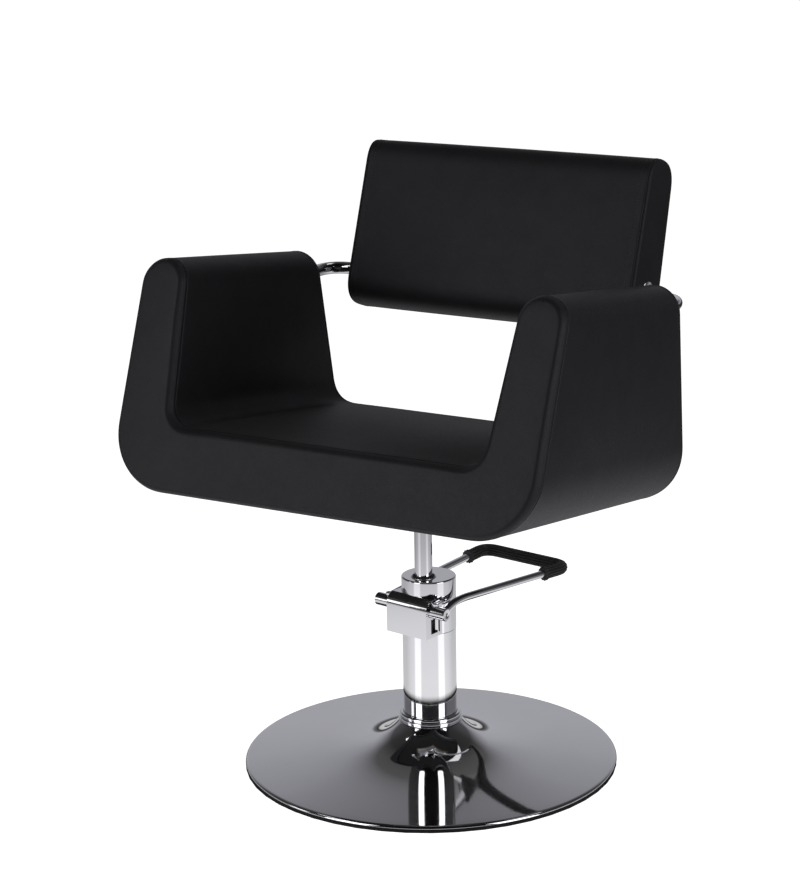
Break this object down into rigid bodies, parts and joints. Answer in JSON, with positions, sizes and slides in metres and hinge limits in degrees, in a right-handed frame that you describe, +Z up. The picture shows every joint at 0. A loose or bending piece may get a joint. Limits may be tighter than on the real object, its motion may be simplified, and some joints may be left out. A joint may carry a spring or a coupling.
{
  "type": "styling chair",
  "caption": "Padded U-shaped salon seat with a separate reclined back, on a foot-pumped lift column with a pedal loop and a round disc base.",
  "frame": {"origin": "on the floor, on the axis of the column and the disc base", "axes": "+Z up, the chair faces -Y, +X to the left hand of a person sitting in it"},
  "size_m": [0.702, 0.6713, 0.9206],
  "materials": {
    "chrome": "mirror polished plate",
    "steel": "plain machined",
    "cast_iron": "black cast",
    "leatherette": "fine grained black leatherette, satin",
    "rubber": "black moulded",
    "plywood": "raw birch plywood",
    "underside_cloth": "black woven dust cloth"
  },
  "bodies": {
    "base": {"base_dome": "chrome", "base_plate": "cast_iron", "edge_ring": "rubber", "floor_pad": "rubber", "pump_foot": "steel", "foot_bolt_1": "steel", "foot_bolt_2": "steel", "foot_bolt_3": "steel", "foot_bolt_4": "steel", "collar_lower": "chrome", "collar_upper": "chrome", "pump_tube": "chrome", "pump_sleeve": "chrome", "pump_body": "cast_iron", "piston_gland": "steel", "piston_seal": "rubber", "pump_housing": "chrome", "plunger_spring": "steel"},
    "lift": {"piston_rod": "chrome", "piston_head": "steel"},
    "seat": {"back_bar_l": "chrome", "back_bar_r": "chrome", "bar_rosette_l": "chrome", "bar_rosette_r": "chrome", "seat_socket": "steel", "socket_bolt_1": "steel", "socket_bolt_2": "steel", "socket_bolt_3": "steel", "socket_bolt_4": "steel", "back_clamp_l": "steel", "back_clamp_r": "steel", "clamp_bolt_l1": "steel", "clamp_bolt_l2": "steel", "clamp_bolt_r1": "steel", "clamp_bolt_r2": "steel", "seat_wrap": "leatherette", "seat_front_panel": "leatherette", "seat_rear_panel": "leatherette", "back_pad": "leatherette", "back_rear_cover": "leatherette", "back_end_l": "leatherette", "back_end_r": "leatherette", "frame_rib_front": "plywood", "frame_rib_rear": "plywood", "arm_board_l": "plywood", "arm_board_r": "plywood", "seat_board": "plywood", "back_board": "plywood", "dust_cover": "underside_cloth"},
    "pedal": {"pedal_axle": "chrome", "axle_screw_l": "chrome", "axle_screw_r": "chrome", "pump_lever": "steel", "pedal_rod": "chrome", "pedal_grip": "rubber"},
    "plunger": {"pump_plunger": "steel"}
  },
  "joints": [
    {"name": "lift_slide", "type": "slide", "parent": "base", "child": "lift", "axis": [0, 0, 1], "range_m": [-0.12, 0.02]},
    {"name": "seat_swivel", "type": "hinge", "parent": "lift", "child": "seat", "pos_m": [-0.00193, -0.01184, 0.46], "axis": [0, 0, 1], "continuous": true},
    {"name": "pedal_hinge", "type": "hinge", "parent": "base", "child": "pedal", "pos_m": [-0.00651, -0.03997, 0.2613], "axis": [-0.987, 0.1607, 0], "range_deg": [0, 12], "stiffness_Nm_per_rad": 8, "springref_deg": -20.05},
    {"name": "plunger_slide", "type": "slide", "parent": "base", "child": "plunger", "axis": [0, 0, -1], "range_m": [0, 0.0045], "deforming": ["plunger_spring"]}
  ],
  "couplings": [
    {"joint": "plunger_slide", "follows": "pedal_hinge", "m_per_rad": 0.0205}
  ]
}
